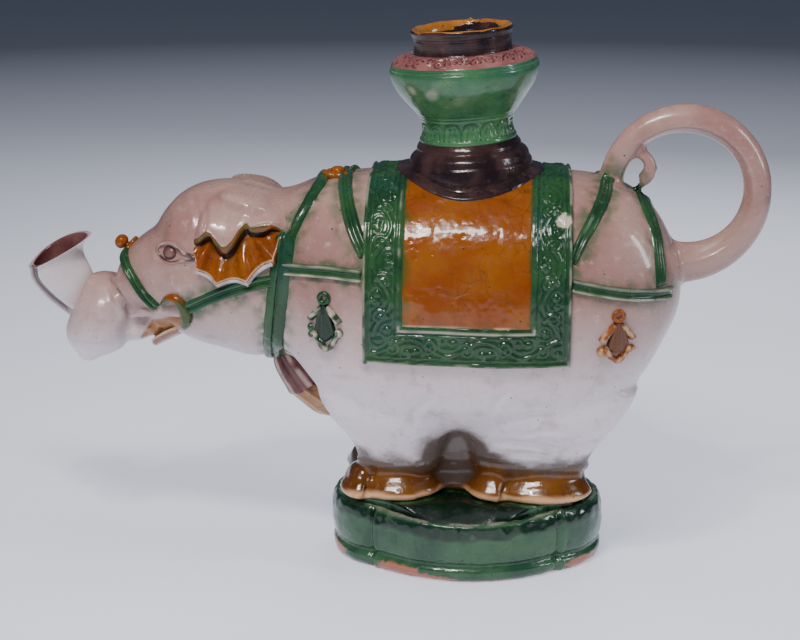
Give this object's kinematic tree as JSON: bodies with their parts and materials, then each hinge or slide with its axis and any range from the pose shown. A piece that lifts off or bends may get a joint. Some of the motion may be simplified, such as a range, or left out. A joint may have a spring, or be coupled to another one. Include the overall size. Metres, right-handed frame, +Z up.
{
  "type": "elephant-shaped ewer",
  "caption": "Glazed ceramic ewer shaped as a caparisoned elephant on a lobed plinth; a vase on the back fills it, the trunk pours and the looped tail is the handle.",
  "frame": {"origin": "middle of the plinth's underside, on the surface that the ewer rests on", "axes": "+Z up, -X the way the elephant faces, -Y its left flank"},
  "size_m": [0.2749, 0.091, 0.2001],
  "materials": {
    "ivory_glaze": "clear glossy glaze over a warm pinkish ivory body, with dark specks and pits",
    "green_glaze": "glossy copper-green glaze, pale where it thins over edges and dark where it pools",
    "amber_glaze": "glossy amber glaze, pale at worn edges and brown where it pools",
    "aubergine_glaze": "glossy aubergine glaze, near black where thick",
    "bare_clay": "unglazed reddish fired clay, matte"
  },
  "bodies": {
    "root": {"bell_tassel": "amber_glaze", "belly_web": "ivory_glaze", "body_left_half": "ivory_glaze", "body_right_half": "ivory_glaze", "brow_knob": "amber_glaze", "chest_bell": "aubergine_glaze", "eyes": "aubergine_glaze", "head_shell": "ivory_glaze", "left_bit_ring": "green_glaze", "left_breast_strap": "green_glaze", "left_cheek_strap": "green_glaze", "left_croup_strap": "green_glaze", "left_crupper_strap": "green_glaze", "left_ear_fold": "ivory_glaze", "left_ear_frill": "amber_glaze", "left_front_foot": "amber_glaze", "left_front_leg": "ivory_glaze", "left_front_pendant": "green_glaze", "left_rear_foot": "amber_glaze", "left_rear_leg": "ivory_glaze", "left_rear_pendant": "amber_glaze", "left_shoulder_strap_front": "green_glaze", "left_shoulder_strap_rear": "green_glaze", "left_thigh_strap": "green_glaze", "left_tusk": "ivory_glaze", "lower_jaw": "amber_glaze", "nape_rosette": "amber_glaze", "neck_band": "green_glaze", "noseband": "green_glaze", "plinth_deck": "green_glaze", "plinth_floor": "bare_clay", "plinth_wall": "green_glaze", "right_bit_ring": "green_glaze", "right_breast_strap": "green_glaze", "right_cheek_strap": "green_glaze", "right_croup_strap": "green_glaze", "right_crupper_strap": "green_glaze", "right_ear_fold": "ivory_glaze", "right_ear_frill": "amber_glaze", "right_front_foot": "amber_glaze", "right_front_leg": "ivory_glaze", "right_front_pendant": "green_glaze", "right_rear_foot": "amber_glaze", "right_rear_leg": "ivory_glaze", "right_rear_pendant": "amber_glaze", "right_shoulder_strap_front": "green_glaze", "right_shoulder_strap_rear": "green_glaze", "right_thigh_strap": "green_glaze", "right_tusk": "ivory_glaze", "saddle_cloth": "green_glaze", "saddle_panel": "amber_glaze", "tail_curl": "ivory_glaze", "tail_handle": "ivory_glaze", "trunk_bulb": "ivory_glaze", "trunk_cup": "ivory_glaze", "vase_bowl": "green_glaze", "vase_neck": "aubergine_glaze", "vase_pedestal": "aubergine_glaze", "vase_saddle": "aubergine_glaze", "vase_shoulder": "aubergine_glaze"}
  },
  "joints": []
}
